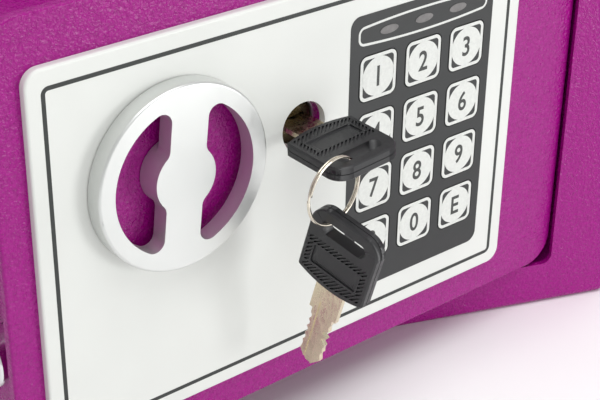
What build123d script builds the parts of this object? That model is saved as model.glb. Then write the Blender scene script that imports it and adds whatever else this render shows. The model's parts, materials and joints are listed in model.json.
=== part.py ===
from build123d import *
import os
from math import cos, radians, sin

# Compact electronic money safe, millimetres.
# +Z is up, the door is on the -Y side, and the origin is the centre of the base.
# The door stands ajar, its bolts are drawn back and the override key is in its lock.

# --- Safe body -------------------------------------------------------------
BODY_W, BODY_D, BODY_H = 300, 200, 200
WALL = 2
BEND_R = 3.5
FRONT_Y = -BODY_D / 2
ANCHOR_SPACING = 150
ANCHOR_R = 5
BASE_ANCHOR_Y = 20
BACK_ANCHOR_Z = 130
BACK_INSET = 2
MAT_THICK = 2.5
MAT_GAP = 3
MAT_R = 4
MAT_HOLE_R = 7

# --- Door, measured across the closed door (x), up (z) and into the safe (depth) ---
DOOR_AJAR = 20.4
DOOR_W, DOOR_H = 240, 160
DOOR_CENTRE = (0, 100)
DOOR_R = 11.5
PLATE = 3
HINGE_X, HINGE_DEPTH = 113, 7.5
PIN_R = 3
PIN_HEAD_R, PIN_HEAD, PIN_STANDOUT, PIN_CHAMFER = 4.5, 2, 1.5, 0.6
RUNNING_GAP = 0.05
LUG_THICK = 3
LUG_R = 5.5
LUG_INSET = 2
LUG_FOOT = 16
PLATE_EDGE = 0.9
STUD_CLEARANCE = 0.5
PAD_WINDOW_MARGIN, PAD_WINDOW_R = 2, 3

# Opening in the front frame: a narrow gap round the door, wider on the hinge side.
GAP = 1.2
HINGE_GAP = 2.5
OPENING_W = DOOR_W + GAP + HINGE_GAP
OPENING_H = DOOR_H + 2 * GAP
OPENING_CENTRE = (DOOR_CENTRE[0] + (HINGE_GAP - GAP) / 2, DOOR_CENTRE[1])
OPENING_R = DOOR_R + GAP
OPENING_HINGE_R = 4
LINER_SET_BACK = 1.9
LINER_WALL = 1.5
LINER_DEPTH = 40

# Sheet-metal box behind the plate.
BOX_W, BOX_H = 214, 144
BOX_CENTRE = (-3, 100)
BOX_R = 4
BOX_WALL = 1.5
BOX_DEPTH = 34.5
TAB = 13
COVER = 1.5
COVER_SCREW_R = 1.5
COVER_SCREW_HEAD_R, COVER_SCREW_HEAD, COVER_SCREW_LENGTH = 3, 1.8, 6
CROSS_L, CROSS_W, CROSS_DEPTH = 3.6, 0.8, 0.9

# --- Front panel and keypad ---------------------------------------------------
PANEL_W, PANEL_H, PANEL_THICK = 196.9, 131.3, 2.7
PANEL_CENTRE = (-11.35, 98.55)
PANEL_R = 5.5
PANEL_EDGE = 0.9
STUD_R, STUD_LENGTH = 2, 8
STUDS = [(x, z) for x in (-100, 81) for z in (42, 155)]
NUT_R, NUT_HEIGHT = 4.04, 3

PAD_W, PAD_H, PAD_R = 65.2, 104.4, 4
PAD_CENTRE = (40.6, 98.8)
PAD_THICK = 0.9
PAD_PROUD = 0.1
KEY_PITCH_X, KEY_PITCH_Z = 20.4, 20.9
KEY_GRID_CENTRE = (40.9, 96.75)
KEY_SIZE, KEY_R = 16.4, 2.9
KEY_CLEARANCE = 0.25
KEY_BASE, KEY_TOP = 1.6, 2.9
KEY_WINDOW_MARGIN = 0.6
KEY_EDGE = 0.25
STEM_R, STEM_BASE = 4, 1.4
KEY_NAMES = [["1", "2", "3"], ["4", "5", "6"], ["7", "8", "9"], ["b", "0", "e"]]
LED_Z, LED_XS = 143.6, (24.7, 40.4, 56.0)
LED_HALF_W, LED_HALF_H = 3.95, 1.45
LED_BASE, LED_TOP = 0.4, 2.95
PCB_FRONT, PCB_THICK = -0.1, 1.6
PCB_MARGIN, PCB_R = 0.4, 1
CHIP_SITES = ((30, 120), (52, 118), (30, 84))
CHIP_W, CHIP_H, CHIP_THICK = 11, 8, 2
SHEET_THICK = 0.55
DOME_R, DOME_RISE = 4.5, 0.2
BUZZER_AT = (60, 66)
BUZZER_R, BUZZER_HEIGHT, BUZZER_HOLE_R, BUZZER_HOLE = 6, 5, 1, 1

# --- Turn knob and bolt work ----------------------------------------------------
KNOB_CENTRE = (-61.7, 119.0)
KNOB_R = 30.75
KNOB_BASE, KNOB_TOP = 3.1, 9.3
KNOB_EDGE = 0.9
KNOB_TILT = -6
GRIP_R = 25.2
GRIP_CORNER_R, GRIP_HUB_CORNER_R = 3.6, 0.8
BAR_W = 13.2
HUB_R = 10.8
HUB_GAP = 0.3
WELL_R = 28.5
SHAFT_R = 5
SHAFT_SEAT = 4
BUSH_R, BUSH_FLANGE_R, BUSH_FLANGE = 7, 9, 1.5
CLIP_R, CLIP_DEPTH, CLIP_THICK, CLIP_MOUTH = 7.5, 4.8, 1, 3
CRANK_DEPTH, CRANK_THICK = 6, 2
CRANK_RADIUS = 14
CRANK_SWING = 60
CRANK_PIN_R, CRANK_PIN_END = 2.5, 15.5
CRANK_EYE_R = 8
CRANK_TIP_R = 4.5
CRANK_SLOT_MARGIN = 0.2

BOLT_R, BOLT_DEPTH = 9, 18
BOLT_ZS = (63, 137)
BOLT_END, BOLT_ROOT = -119.5, -84
BOLT_TRAVEL = CRANK_RADIUS
BOLT_CLEARANCE = 0.3
BOLT_EDGE = 1.5
STRIKE_R = 10
CARRIER_DEPTH, CARRIER_THICK = 10.5, 2.5
CARRIER_Z0, CARRIER_Z1 = 100, 142
CARRIER_STEP_X, CARRIER_RIGHT = -49, -27
CARRIER_ARM_Z = 114.5
FLANGE_DEPTHS, FLANGE_R = (5, 27), 3
FLANGE_ZS = (53, 147)
TAB_X, TAB_W, TAB_TOP = -31, 4, 120.5
SLOT_CLEARANCE = 0.3
GUIDE_XS, GUIDE_Z = (-72, -47), 105
GUIDE_R, GUIDE_HEAD_R, GUIDE_HEAD = 3, 5, 2
DRIVER_SLOT_L, DRIVER_SLOT_W, DRIVER_SLOT_DEPTH = 7, 1.2, 1
BOLT_SCREW_R, BOLT_SCREW_HEAD_R, BOLT_SCREW_HEAD, BOLT_SCREW_LENGTH = 2, 4, 2.5, 9
HEX_SOCKET_R, HEX_SOCKET_FLOOR = 1.7, 0.8
SCREW_END_GAP = 0.5

# Latching solenoid: its plunger drops beside the carrier's tab.
SOLENOID_X = TAB_X - BOLT_TRAVEL / 2
SOLENOID_W = 18
SOLENOID_ZS = (131, 163)
SOLENOID_SHEET = 1.2
SOLENOID_BACK_GAP, PLUNGER_HOLE_GAP, COIL_BORE_GAP = 0.6, 0.4, 0.1
COIL_R, PLUNGER_R = 7.2, 3
COIL_DEPTH = CARRIER_DEPTH + CARRIER_THICK / 2
PLUNGER_ZS = (121.5, 156)
COLLAR_R, COLLAR_ZS = 4.6, (126.5, 128)
CROSS_PIN_R, CROSS_PIN_Z, CROSS_PIN_END = 1.25, 124.2, 29.1
SPRING_R, SPRING_WIRE_R, SPRING_PITCH, SPRING_HEIGHT = 4, 0.22, 0.8, 2.4
SPRING_START = 128.3

# --- Override lock ---------------------------------------------------------------
LOCK_CENTRE = (-10.9, 118.6)
KEYHOLE_R, PLATE_KEYHOLE_R = 8.8, 8.6
LOCK_R, LOCK_FACE, LOCK_END, LOCK_EDGE = 8, 3.6, 25.6, 0.5
PLUG_R, PLUG_FACE = 5, 3.9
PLUG_TAIL_R, PLUG_TAIL_END = 3, 31.1
BRACKET_SIZE, BRACKET_R, BRACKET_THICK = 30, 3, 2
LOCK_NUT_R, LOCK_NUT_HEIGHT = 12.5, 3
CAM_DEPTH, CAM_THICK, CAM_EYE_R, CAM_W, CAM_LENGTH = 26.1, 2, 6, 7, 30
CAM_NUT_R, CAM_NUT_HEIGHT = 5, 2.5
KEYWAY_W, KEYWAY_H, KEYWAY_END = 9, 2.2, 25.3

# --- Keys and split ring, in the key's own frame: x across, y from the bow's edge to its slot ---
BOW_W, BOW_L, BOW_THICK = 26.6, 25.1, 4.9
BOW_BULGE = 2.4
BOW_R, BOW_NEAR_R = 6, 1
BOW_EDGE = 0.5
SLOT_L, SLOT_W, SLOT_Y = 17.5, 4.9, 19.3
SUNK_W, SUNK_L, SUNK_Y, SUNK_R, SUNK_DEPTH = 18.2, 6.8, 7.4, 0.6, 0.5
BLADE_THICK = 1.8
SHANK_W, SHANK_IN, SHANK_OUT = 11, 3, 13.5
BLADE_W, BLADE_L = 8.4, 35.3
TOOTH_START, TOOTH_PITCH = 2, 3.1
TOOTH_CUTS = {1: (0.4, 1.9, 1.7, 0.3, 0.6), -1: (0.7, 0.8, 0.8, 0.7, 0.4)}
CUT_NEAR, CUT_FAR = 0.35 * TOOTH_PITCH, 0.6 * TOOTH_PITCH
TIP_L, TIP_W = 3.6, 2.4
GROOVE_W, GROOVE_DEPTH, GROOVE_START, GROOVE_SHIFT = 3, 0.4, -9.5, -0.6
# The bow's edge stands this far off the panel with the key home; the key rests turned a little from level
BOW_OUT = 7.7
KEY_TILT = 4.4

RING_R = 11.2
RING_RADIAL, RING_AXIAL, RING_EDGE = 0.8, 1.5, 0.3
RING_AT = (-22.8, 111.6, 31.8)
RING_TURN = (1.0, 7.9, 0)
SPARE_AT = (-23.3, 79.6, 33.4)
SPARE_LEAN = (0.1, 11.3, -15.4)

# --- Battery tray and reset button, at the back of the door -------------------------
TRAY_W, TRAY_H = 60, 56
TRAY_CENTRE = (-46, 59)
TRAY_WALL = 1.5
TRAY_FLOOR = 16
LID_GAP = 0.2
LID_RIDGE_W, LID_RIDGE_H, LID_RIDGE, LID_RIDGE_R, LID_RIDGE_DROP = 16, 3, 1.2, 1, 6
CELL_R, CELL_L, CELL_PITCH, CELL_DEPTH = 6.95, 50.5, 14.1, 25.5
CELL_TIP_R, CELL_TIP = 2.6, 1
CONTACT_W, CONTACT_THICK = 9, 0.9
RESET_AT = (60, 148)
RESET_R, RESET_IN, RESET_OUT, RESET_HEAD_R = 3, 20, 37.5, 4.5
RESET_HEAD, RESET_CHAMFER = 2, 0.5
RESET_HOLE_R = 3.4
LEAD_R, LEAD_BEND = 0.9, 5

ajar = radians(DOOR_AJAR)
UP = Vector(0, 0, 1)
DOOR_RIGHT = Vector(cos(ajar), sin(ajar), 0)
DOOR_OUT = Vector(sin(ajar), -cos(ajar), 0)
HINGE = Vector(HINGE_X, FRONT_Y + HINGE_DEPTH, 0)
DOOR_FACE = Plane(
    origin=HINGE - DOOR_RIGHT * HINGE_X + DOOR_OUT * HINGE_DEPTH,
    x_dir=DOOR_RIGHT,
    z_dir=DOOR_OUT,
)

os.makedirs("parts", exist_ok=True)


def door_point(x, z, out):
    """A point given across, up and out from the front of the door plate."""
    return DOOR_FACE.from_local_coords(Vector(x, z, out))


OUTWARD = Axis(DOOR_FACE.origin, DOOR_OUT)
ACROSS = Axis(DOOR_FACE.origin, DOOR_RIGHT)


def front(out=0.0):
    """Plane parallel to the door, out mm in front of the plate; its normal points out of the safe."""
    return DOOR_FACE.offset(out)


def side(x):
    """Plane across the door at x: local x is depth into the safe, local y is up."""
    return Plane(origin=door_point(x, 0, 0), x_dir=-DOOR_OUT, z_dir=DOOR_RIGHT)


def level(z):
    """Level plane at height z: local x runs across the door, local y is depth into the safe."""
    return Plane(origin=door_point(0, z, 0), x_dir=DOOR_RIGHT, z_dir=UP)


def save(piece, label):
    """Label one finished piece and write its STEP file."""
    piece.part.label = label
    export_step(piece.part, f"parts/{label}.step")


def opening_outline(grow, mode=Mode.ADD):
    """The door opening's outline, grow mm larger all round. Its corners are tighter on the hinge side."""
    with BuildSketch(mode=Mode.PRIVATE) as outline:
        with Locations(OPENING_CENTRE):
            Rectangle(OPENING_W + 2 * grow, OPENING_H + 2 * grow)
        fillet(outline.vertices().group_by(Axis.X)[0], OPENING_R + grow)
        fillet(outline.vertices().group_by(Axis.X)[-1], OPENING_HINGE_R + grow)
    add(outline.sketch, mode=mode)


# ============================ safe body ============================
with BuildPart() as body_shell:
    with BuildSketch(Plane.XZ.offset(BODY_D / 2)):
        with Locations((0, BODY_H / 2)):
            RectangleRounded(BODY_W, BODY_H, BEND_R)
    extrude(amount=-BODY_D)
    fillet(body_shell.faces().sort_by(Axis.Y)[0].edges(), BEND_R - 0.3)
    with BuildSketch(Plane.XZ.offset(BODY_D / 2 - WALL)):
        with Locations((0, BODY_H / 2)):
            RectangleRounded(BODY_W - 2 * WALL, BODY_H - 2 * WALL, BEND_R - WALL)
    extrude(amount=-BODY_D, mode=Mode.SUBTRACT)
    with BuildSketch(Plane.XZ.offset(BODY_D / 2)):
        opening_outline(0)
    extrude(amount=-WALL, mode=Mode.SUBTRACT)
    with BuildSketch(Plane.XY):
        with Locations((0, BASE_ANCHOR_Y)):
            with GridLocations(ANCHOR_SPACING, 1, 2, 1):
                Circle(ANCHOR_R)
    extrude(amount=WALL, mode=Mode.SUBTRACT)
save(body_shell, "body_shell")

with BuildPart() as back_panel:
    with BuildSketch(Plane.XZ.offset(-(BODY_D / 2 - BACK_INSET))):
        with Locations((0, BODY_H / 2)):
            RectangleRounded(BODY_W - 2 * WALL, BODY_H - 2 * WALL, BEND_R - WALL)
        with Locations((0, BACK_ANCHOR_Z)):
            with GridLocations(ANCHOR_SPACING, 1, 2, 1):
                Circle(ANCHOR_R, mode=Mode.SUBTRACT)
    extrude(amount=WALL)
save(back_panel, "back_panel")

with BuildPart() as jamb_liner:
    with BuildSketch(Plane.XZ.offset(BODY_D / 2 - WALL)):
        opening_outline(LINER_SET_BACK + LINER_WALL)
        opening_outline(LINER_SET_BACK, Mode.SUBTRACT)
    extrude(amount=-LINER_DEPTH)
    with BuildSketch(Plane.YZ.offset(-BODY_W / 2)):
        with Locations(*[(FRONT_Y + BOLT_DEPTH, z) for z in BOLT_ZS]):
            Circle(STRIKE_R)
    extrude(amount=BODY_W / 4, mode=Mode.SUBTRACT)
    with BuildSketch(Plane.XY):
        with Locations((HINGE.X, HINGE.Y)):
            Circle(PIN_R)
    extrude(amount=BODY_H, mode=Mode.SUBTRACT)
save(jamb_liner, "jamb_liner")

with BuildPart() as floor_mat:
    with BuildSketch(Plane.XY.offset(WALL)):
        RectangleRounded(BODY_W - 2 * (WALL + MAT_GAP), BODY_D - 2 * (WALL + MAT_GAP), MAT_R)
        with Locations((0, BASE_ANCHOR_Y)):
            with GridLocations(ANCHOR_SPACING, 1, 2, 1):
                Circle(MAT_HOLE_R, mode=Mode.SUBTRACT)
    extrude(amount=MAT_THICK)
save(floor_mat, "floor_mat")

# Hinge pins: each stands in a hole of the liner, with its head outside, and runs in a door lug.
liner_bottom = OPENING_CENTRE[1] - OPENING_H / 2 - LINER_SET_BACK - LINER_WALL
lug_bottom = DOOR_CENTRE[1] - DOOR_H / 2 + LUG_INSET
pin_reach = lug_bottom + LUG_THICK + PIN_STANDOUT
with BuildPart() as hinge_pins:
    with BuildSketch(Plane.XY.offset(liner_bottom - PIN_HEAD)):
        with Locations((HINGE.X, HINGE.Y)):
            Circle(PIN_HEAD_R)
    extrude(amount=PIN_HEAD)
    with BuildSketch(Plane.XY.offset(liner_bottom)):
        with Locations((HINGE.X, HINGE.Y)):
            Circle(PIN_R)
    extrude(amount=pin_reach - liner_bottom)
    chamfer(hinge_pins.edges().sort_by(Axis.Z)[-1], PIN_CHAMFER)
    mirror(about=Plane.XY.offset(DOOR_CENTRE[1]))
save(hinge_pins, "hinge_pins")

# ============================ door shell ============================
with BuildPart() as hinge_lugs:
    with BuildSketch(level(lug_bottom)):
        with Locations((HINGE_X, HINGE_DEPTH)):
            Circle(LUG_R)
        with Locations((HINGE_X - LUG_FOOT / 2, PLATE)):
            Rectangle(LUG_FOOT, HINGE_DEPTH - PLATE + LUG_R, align=(Align.CENTER, Align.MIN))
        with Locations((HINGE_X, HINGE_DEPTH)):
            Circle(PIN_R + RUNNING_GAP, mode=Mode.SUBTRACT)
        with Locations((HINGE_X, 0)):
            Rectangle(4 * LUG_R, PLATE, align=(Align.CENTER, Align.MIN), mode=Mode.SUBTRACT)
    extrude(amount=LUG_THICK)
    mirror(about=Plane.XY.offset(DOOR_CENTRE[1]))
save(hinge_lugs, "hinge_lugs")

with BuildPart() as door_plate:
    with BuildSketch(front()):
        with Locations(DOOR_CENTRE):
            RectangleRounded(DOOR_W, DOOR_H, DOOR_R)
    extrude(amount=-PLATE)
    fillet(door_plate.faces().sort_by(OUTWARD)[-1].edges(), PLATE_EDGE)
    with BuildSketch(front()):
        with Locations(KNOB_CENTRE):
            Circle(BUSH_R)
        with Locations(LOCK_CENTRE):
            Circle(PLATE_KEYHOLE_R)
        with Locations(*STUDS):
            Circle(STUD_R + STUD_CLEARANCE)
        with Locations(PAD_CENTRE):
            RectangleRounded(PAD_W + 2 * PAD_WINDOW_MARGIN, PAD_H + 2 * PAD_WINDOW_MARGIN, PAD_WINDOW_R)
    extrude(amount=-PLATE, mode=Mode.SUBTRACT)
save(door_plate, "door_plate")

tab_x = BOX_W / 2 - BOX_WALL - TAB / 2
tab_z = BOX_H / 2 - BOX_WALL - TAB / 2
tab_sites = [(BOX_CENTRE[0] + sx * tab_x, BOX_CENTRE[1] + sz * tab_z) for sx in (-1, 1) for sz in (-1, 1)]
with BuildPart() as door_inner_frame:
    with BuildSketch(front(-PLATE)):
        with Locations(BOX_CENTRE):
            RectangleRounded(BOX_W, BOX_H, BOX_R)
            RectangleRounded(
                BOX_W - 2 * BOX_WALL, BOX_H - 2 * BOX_WALL, BOX_R - BOX_WALL, mode=Mode.SUBTRACT
            )
    extrude(amount=-(BOX_DEPTH - PLATE))
    with BuildSketch(front(-BOX_DEPTH)):
        with Locations(*tab_sites):
            Rectangle(TAB, TAB)
        with Locations(BOX_CENTRE):
            RectangleRounded(BOX_W - BOX_WALL, BOX_H - BOX_WALL, BOX_R - BOX_WALL / 2, mode=Mode.INTERSECT)
    extrude(amount=BOX_WALL)
    with BuildSketch(front(-BOX_DEPTH)):
        with Locations(*tab_sites):
            Circle(COVER_SCREW_R)
    extrude(amount=BOX_WALL, mode=Mode.SUBTRACT)
    with BuildSketch(side(BOX_CENTRE[0] - BOX_W / 2)):
        with Locations(*[(BOLT_DEPTH, z) for z in BOLT_ZS]):
            Circle(BOLT_R + BOLT_CLEARANCE)
    extrude(amount=BOX_WALL, mode=Mode.SUBTRACT)
save(door_inner_frame, "door_inner_frame")

with BuildPart() as door_back_cover:
    with BuildSketch(front(-BOX_DEPTH)):
        with Locations(BOX_CENTRE):
            RectangleRounded(BOX_W, BOX_H, BOX_R)
        with Locations(TRAY_CENTRE):
            Rectangle(TRAY_W + 2 * LID_GAP, TRAY_H + 2 * LID_GAP, mode=Mode.SUBTRACT)
        with Locations(RESET_AT):
            Circle(RESET_HOLE_R, mode=Mode.SUBTRACT)
        with Locations(*tab_sites):
            Circle(COVER_SCREW_R, mode=Mode.SUBTRACT)
    extrude(amount=-COVER)
save(door_back_cover, "door_back_cover")

cover_back = -(BOX_DEPTH + COVER)
with BuildPart() as back_cover_screws:
    with BuildSketch(front(cover_back)):
        with Locations(*tab_sites):
            Circle(COVER_SCREW_HEAD_R)
    extrude(amount=-COVER_SCREW_HEAD)
    with BuildSketch(front(cover_back - COVER_SCREW_HEAD)):
        with Locations(*tab_sites):
            Rectangle(CROSS_L, CROSS_W)
            Rectangle(CROSS_W, CROSS_L)
    extrude(amount=CROSS_DEPTH, mode=Mode.SUBTRACT)
    with BuildSketch(front(cover_back)):
        with Locations(*tab_sites):
            Circle(COVER_SCREW_R)
    extrude(amount=COVER_SCREW_LENGTH)
save(back_cover_screws, "back_cover_screws")

# ============================ front panel and keypad ============================
grid_w = 2 * KEY_PITCH_X + KEY_SIZE
grid_h = 3 * KEY_PITCH_Z + KEY_SIZE
with BuildPart() as faceplate:
    with BuildSketch(front()):
        with Locations(PANEL_CENTRE):
            RectangleRounded(PANEL_W, PANEL_H, PANEL_R)
    extrude(amount=PANEL_THICK)
    fillet(faceplate.faces().sort_by(OUTWARD)[-1].edges(), PANEL_EDGE)
    with BuildSketch(front()):
        with Locations(KNOB_CENTRE):
            Circle(WELL_R)
        with Locations(LOCK_CENTRE):
            Circle(KEYHOLE_R)
        with Locations(KEY_GRID_CENTRE):
            Rectangle(grid_w + 2 * KEY_WINDOW_MARGIN, grid_h + 2 * KEY_WINDOW_MARGIN)
        with Locations(*[(x, LED_Z) for x in LED_XS]):
            Ellipse(LED_HALF_W, LED_HALF_H)
    extrude(amount=PANEL_THICK, mode=Mode.SUBTRACT)
    with BuildSketch(front(PANEL_THICK)):
        with Locations(PAD_CENTRE):
            RectangleRounded(PAD_W, PAD_H, PAD_R)
    extrude(amount=PAD_PROUD - PAD_THICK, mode=Mode.SUBTRACT)
    with BuildSketch(front()):
        with Locations(*STUDS):
            Circle(STUD_R)
    extrude(amount=-STUD_LENGTH)
save(faceplate, "faceplate")

with BuildPart() as faceplate_nuts:
    with BuildSketch(front(-PLATE)):
        with Locations(*STUDS):
            RegularPolygon(NUT_R, 6)
            Circle(STUD_R, mode=Mode.SUBTRACT)
    extrude(amount=-NUT_HEIGHT)
save(faceplate_nuts, "faceplate_nuts")

pad_base = PANEL_THICK + PAD_PROUD - PAD_THICK
with BuildPart() as keypad_overlay:
    with BuildSketch(front(pad_base)):
        with Locations(PAD_CENTRE):
            RectangleRounded(PAD_W, PAD_H, PAD_R)
        with Locations(KEY_GRID_CENTRE):
            with GridLocations(KEY_PITCH_X, KEY_PITCH_Z, 3, 4):
                RectangleRounded(
                    KEY_SIZE + 2 * KEY_CLEARANCE, KEY_SIZE + 2 * KEY_CLEARANCE, KEY_R + KEY_CLEARANCE,
                    mode=Mode.SUBTRACT,
                )
        with Locations(*[(x, LED_Z) for x in LED_XS]):
            Ellipse(LED_HALF_W, LED_HALF_H, mode=Mode.SUBTRACT)
    extrude(amount=PAD_THICK)
save(keypad_overlay, "keypad_overlay")

with BuildPart() as led_lenses:
    with BuildSketch(front(LED_BASE)):
        with Locations(*[(x, LED_Z) for x in LED_XS]):
            Ellipse(LED_HALF_W, LED_HALF_H)
    extrude(amount=LED_TOP - LED_BASE)
save(led_lenses, "led_lenses")

with BuildPart() as keypad_dome_sheet:
    with BuildSketch(front(PCB_FRONT)):
        with Locations(KEY_GRID_CENTRE):
            Rectangle(grid_w, grid_h)
    extrude(amount=SHEET_THICK)
    with BuildSketch(front(PCB_FRONT + SHEET_THICK)):
        with Locations(KEY_GRID_CENTRE):
            with GridLocations(KEY_PITCH_X, KEY_PITCH_Z, 3, 4):
                Circle(DOME_R)
    extrude(amount=DOME_RISE)
save(keypad_dome_sheet, "keypad_dome_sheet")

with BuildPart() as keypad_pcb:
    with BuildSketch(front(PCB_FRONT)):
        with Locations(PAD_CENTRE):
            RectangleRounded(PAD_W + PCB_MARGIN, PAD_H + PCB_MARGIN, PCB_R)
    extrude(amount=-PCB_THICK)
    with BuildSketch(front(PCB_FRONT - PCB_THICK)):
        with Locations(*CHIP_SITES):
            Rectangle(CHIP_W, CHIP_H)
    extrude(amount=-CHIP_THICK)
save(keypad_pcb, "keypad_pcb")

with BuildPart() as buzzer:
    with BuildSketch(front(PCB_FRONT - PCB_THICK)):
        with Locations(BUZZER_AT):
            Circle(BUZZER_R)
    extrude(amount=-BUZZER_HEIGHT)
    with BuildSketch(front(PCB_FRONT - PCB_THICK - BUZZER_HEIGHT)):
        with Locations(BUZZER_AT):
            Circle(BUZZER_HOLE_R)
    extrude(amount=BUZZER_HOLE, mode=Mode.SUBTRACT)
save(buzzer, "buzzer")

for row, names in enumerate(KEY_NAMES):
    for column, name in enumerate(names):
        key_x = KEY_GRID_CENTRE[0] + (column - 1) * KEY_PITCH_X
        key_z = KEY_GRID_CENTRE[1] + (1.5 - row) * KEY_PITCH_Z
        with BuildPart() as key_button:
            with BuildSketch(front(KEY_BASE)):
                with Locations((key_x, key_z)):
                    RectangleRounded(KEY_SIZE, KEY_SIZE, KEY_R)
            extrude(amount=KEY_TOP - KEY_BASE)
            fillet(key_button.faces().sort_by(OUTWARD)[-1].edges(), KEY_EDGE)
            with BuildSketch(front(STEM_BASE)):
                with Locations((key_x, key_z)):
                    Circle(STEM_R)
            extrude(amount=KEY_BASE - STEM_BASE)
        save(key_button, f"key_{name}")

# ============================ turn knob and bolt work ============================
def from_knob_axis(vertex):
    """Distance of a vertex of the grips' sketch from the knob's axis."""
    return (vertex.center() - door_point(*KNOB_CENTRE, KNOB_BASE)).length


def beyond_hub(vertex):
    """True for the outer corners of the two finger windows."""
    return from_knob_axis(vertex) > (HUB_R + GRIP_R) / 2


def at_hub(vertex):
    """True for the corners of the two finger windows beside the hub."""
    return from_knob_axis(vertex) <= (HUB_R + GRIP_R) / 2


with BuildPart() as knob:
    with BuildSketch(front(KNOB_BASE)):
        with Locations(KNOB_CENTRE):
            Circle(KNOB_R)
    extrude(amount=KNOB_TOP - KNOB_BASE)
    fillet(knob.faces().sort_by(OUTWARD)[-1].edges(), KNOB_EDGE)
    with BuildSketch(front(KNOB_BASE)) as grips:
        with Locations(Location((KNOB_CENTRE[0], KNOB_CENTRE[1], 0), KNOB_TILT)):
            Circle(GRIP_R)
            Rectangle(BAR_W, 2 * GRIP_R, mode=Mode.SUBTRACT)
            Circle(HUB_R, mode=Mode.SUBTRACT)
        fillet(grips.vertices().filter_by(beyond_hub), GRIP_CORNER_R)
        fillet(grips.vertices().filter_by(at_hub), GRIP_HUB_CORNER_R)
    extrude(amount=KNOB_TOP - KNOB_BASE, mode=Mode.SUBTRACT)
    with BuildSketch(front(HUB_GAP)):
        with Locations(KNOB_CENTRE):
            Circle(HUB_R)
            Circle(SHAFT_R, mode=Mode.SUBTRACT)
    extrude(amount=KNOB_BASE - HUB_GAP)
    with BuildSketch(front(KNOB_BASE)):
        with Locations(KNOB_CENTRE):
            Circle(SHAFT_R)
    extrude(amount=SHAFT_SEAT, mode=Mode.SUBTRACT)
save(knob, "knob")

with BuildPart() as knob_shaft:
    with BuildSketch(front(KNOB_BASE + SHAFT_SEAT)):
        with Locations(KNOB_CENTRE):
            Circle(SHAFT_R)
    extrude(amount=-(KNOB_BASE + SHAFT_SEAT + CRANK_DEPTH + CRANK_THICK))
save(knob_shaft, "knob_shaft")

with BuildPart() as knob_bush:
    with BuildSketch(front()):
        with Locations(KNOB_CENTRE):
            Circle(BUSH_R)
            Circle(SHAFT_R + RUNNING_GAP, mode=Mode.SUBTRACT)
    extrude(amount=-PLATE)
    with BuildSketch(front(-PLATE)):
        with Locations(KNOB_CENTRE):
            Circle(BUSH_FLANGE_R)
            Circle(SHAFT_R + RUNNING_GAP, mode=Mode.SUBTRACT)
    extrude(amount=-BUSH_FLANGE)
save(knob_bush, "knob_bush")

with BuildPart() as shaft_clip:
    with BuildSketch(front(-CLIP_DEPTH)):
        with Locations(KNOB_CENTRE):
            Circle(CLIP_R)
            Circle(SHAFT_R, mode=Mode.SUBTRACT)
        with Locations((KNOB_CENTRE[0] - CLIP_R, KNOB_CENTRE[1])):
            Rectangle(CLIP_R, CLIP_MOUTH, mode=Mode.SUBTRACT)
    extrude(amount=-CLIP_THICK)
save(shaft_clip, "shaft_clip")

half_swing = radians(CRANK_SWING / 2)
crank_tip = (
    KNOB_CENTRE[0] + CRANK_RADIUS * sin(half_swing),
    KNOB_CENTRE[1] + CRANK_RADIUS * cos(half_swing),
)
with BuildPart() as crank_arm:
    with BuildSketch(front(-CRANK_DEPTH)):
        with Locations(KNOB_CENTRE):
            Circle(CRANK_EYE_R)
        with Locations(crank_tip):
            Circle(CRANK_TIP_R)
        make_hull()
        with Locations(KNOB_CENTRE):
            Circle(SHAFT_R, mode=Mode.SUBTRACT)
    extrude(amount=-CRANK_THICK)
    with BuildSketch(front(-CRANK_DEPTH - CRANK_THICK)):
        with Locations(crank_tip):
            Circle(CRANK_PIN_R)
    extrude(amount=-(CRANK_PIN_END - CRANK_DEPTH - CRANK_THICK))
save(crank_arm, "crank_arm")

crank_slot_low = crank_tip[1] - CRANK_SLOT_MARGIN
crank_slot_high = KNOB_CENTRE[1] + CRANK_RADIUS + CRANK_SLOT_MARGIN
crank_slot_w = 2 * (CRANK_PIN_R + SLOT_CLEARANCE)
with BuildPart() as bolt_carrier:
    with BuildSketch(front(-CARRIER_DEPTH)):
        with BuildLine():
            Polyline(
                (BOLT_ROOT, CARRIER_Z0),
                (CARRIER_RIGHT, CARRIER_Z0),
                (CARRIER_RIGHT, CARRIER_ARM_Z),
                (TAB_X + TAB_W / 2, CARRIER_ARM_Z),
                (TAB_X + TAB_W / 2, TAB_TOP),
                (TAB_X - TAB_W / 2, TAB_TOP),
                (TAB_X - TAB_W / 2, CARRIER_ARM_Z),
                (CARRIER_STEP_X, CARRIER_ARM_Z),
                (CARRIER_STEP_X, CARRIER_Z1),
                (BOLT_ROOT, CARRIER_Z1),
                close=True,
            )
        make_face()
        with Locations((crank_tip[0], (crank_slot_low + crank_slot_high) / 2)):
            SlotOverall(crank_slot_high - crank_slot_low + crank_slot_w, crank_slot_w, rotation=90,
                        mode=Mode.SUBTRACT)
        with Locations(*[(x + BOLT_TRAVEL / 2, GUIDE_Z) for x in GUIDE_XS]):
            SlotOverall(BOLT_TRAVEL + 2 * (GUIDE_R + SLOT_CLEARANCE), 2 * (GUIDE_R + SLOT_CLEARANCE),
                        mode=Mode.SUBTRACT)
    extrude(amount=-CARRIER_THICK)
    with BuildSketch(side(BOLT_ROOT)):
        with Locations((sum(FLANGE_DEPTHS) / 2, sum(FLANGE_ZS) / 2)):
            RectangleRounded(FLANGE_DEPTHS[1] - FLANGE_DEPTHS[0], FLANGE_ZS[1] - FLANGE_ZS[0], FLANGE_R)
    extrude(amount=CARRIER_THICK)
    with BuildSketch(side(BOLT_ROOT)):
        with Locations(*[(BOLT_DEPTH, z) for z in BOLT_ZS]):
            Circle(BOLT_SCREW_R)
    extrude(amount=CARRIER_THICK, mode=Mode.SUBTRACT)
save(bolt_carrier, "bolt_carrier")

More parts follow.
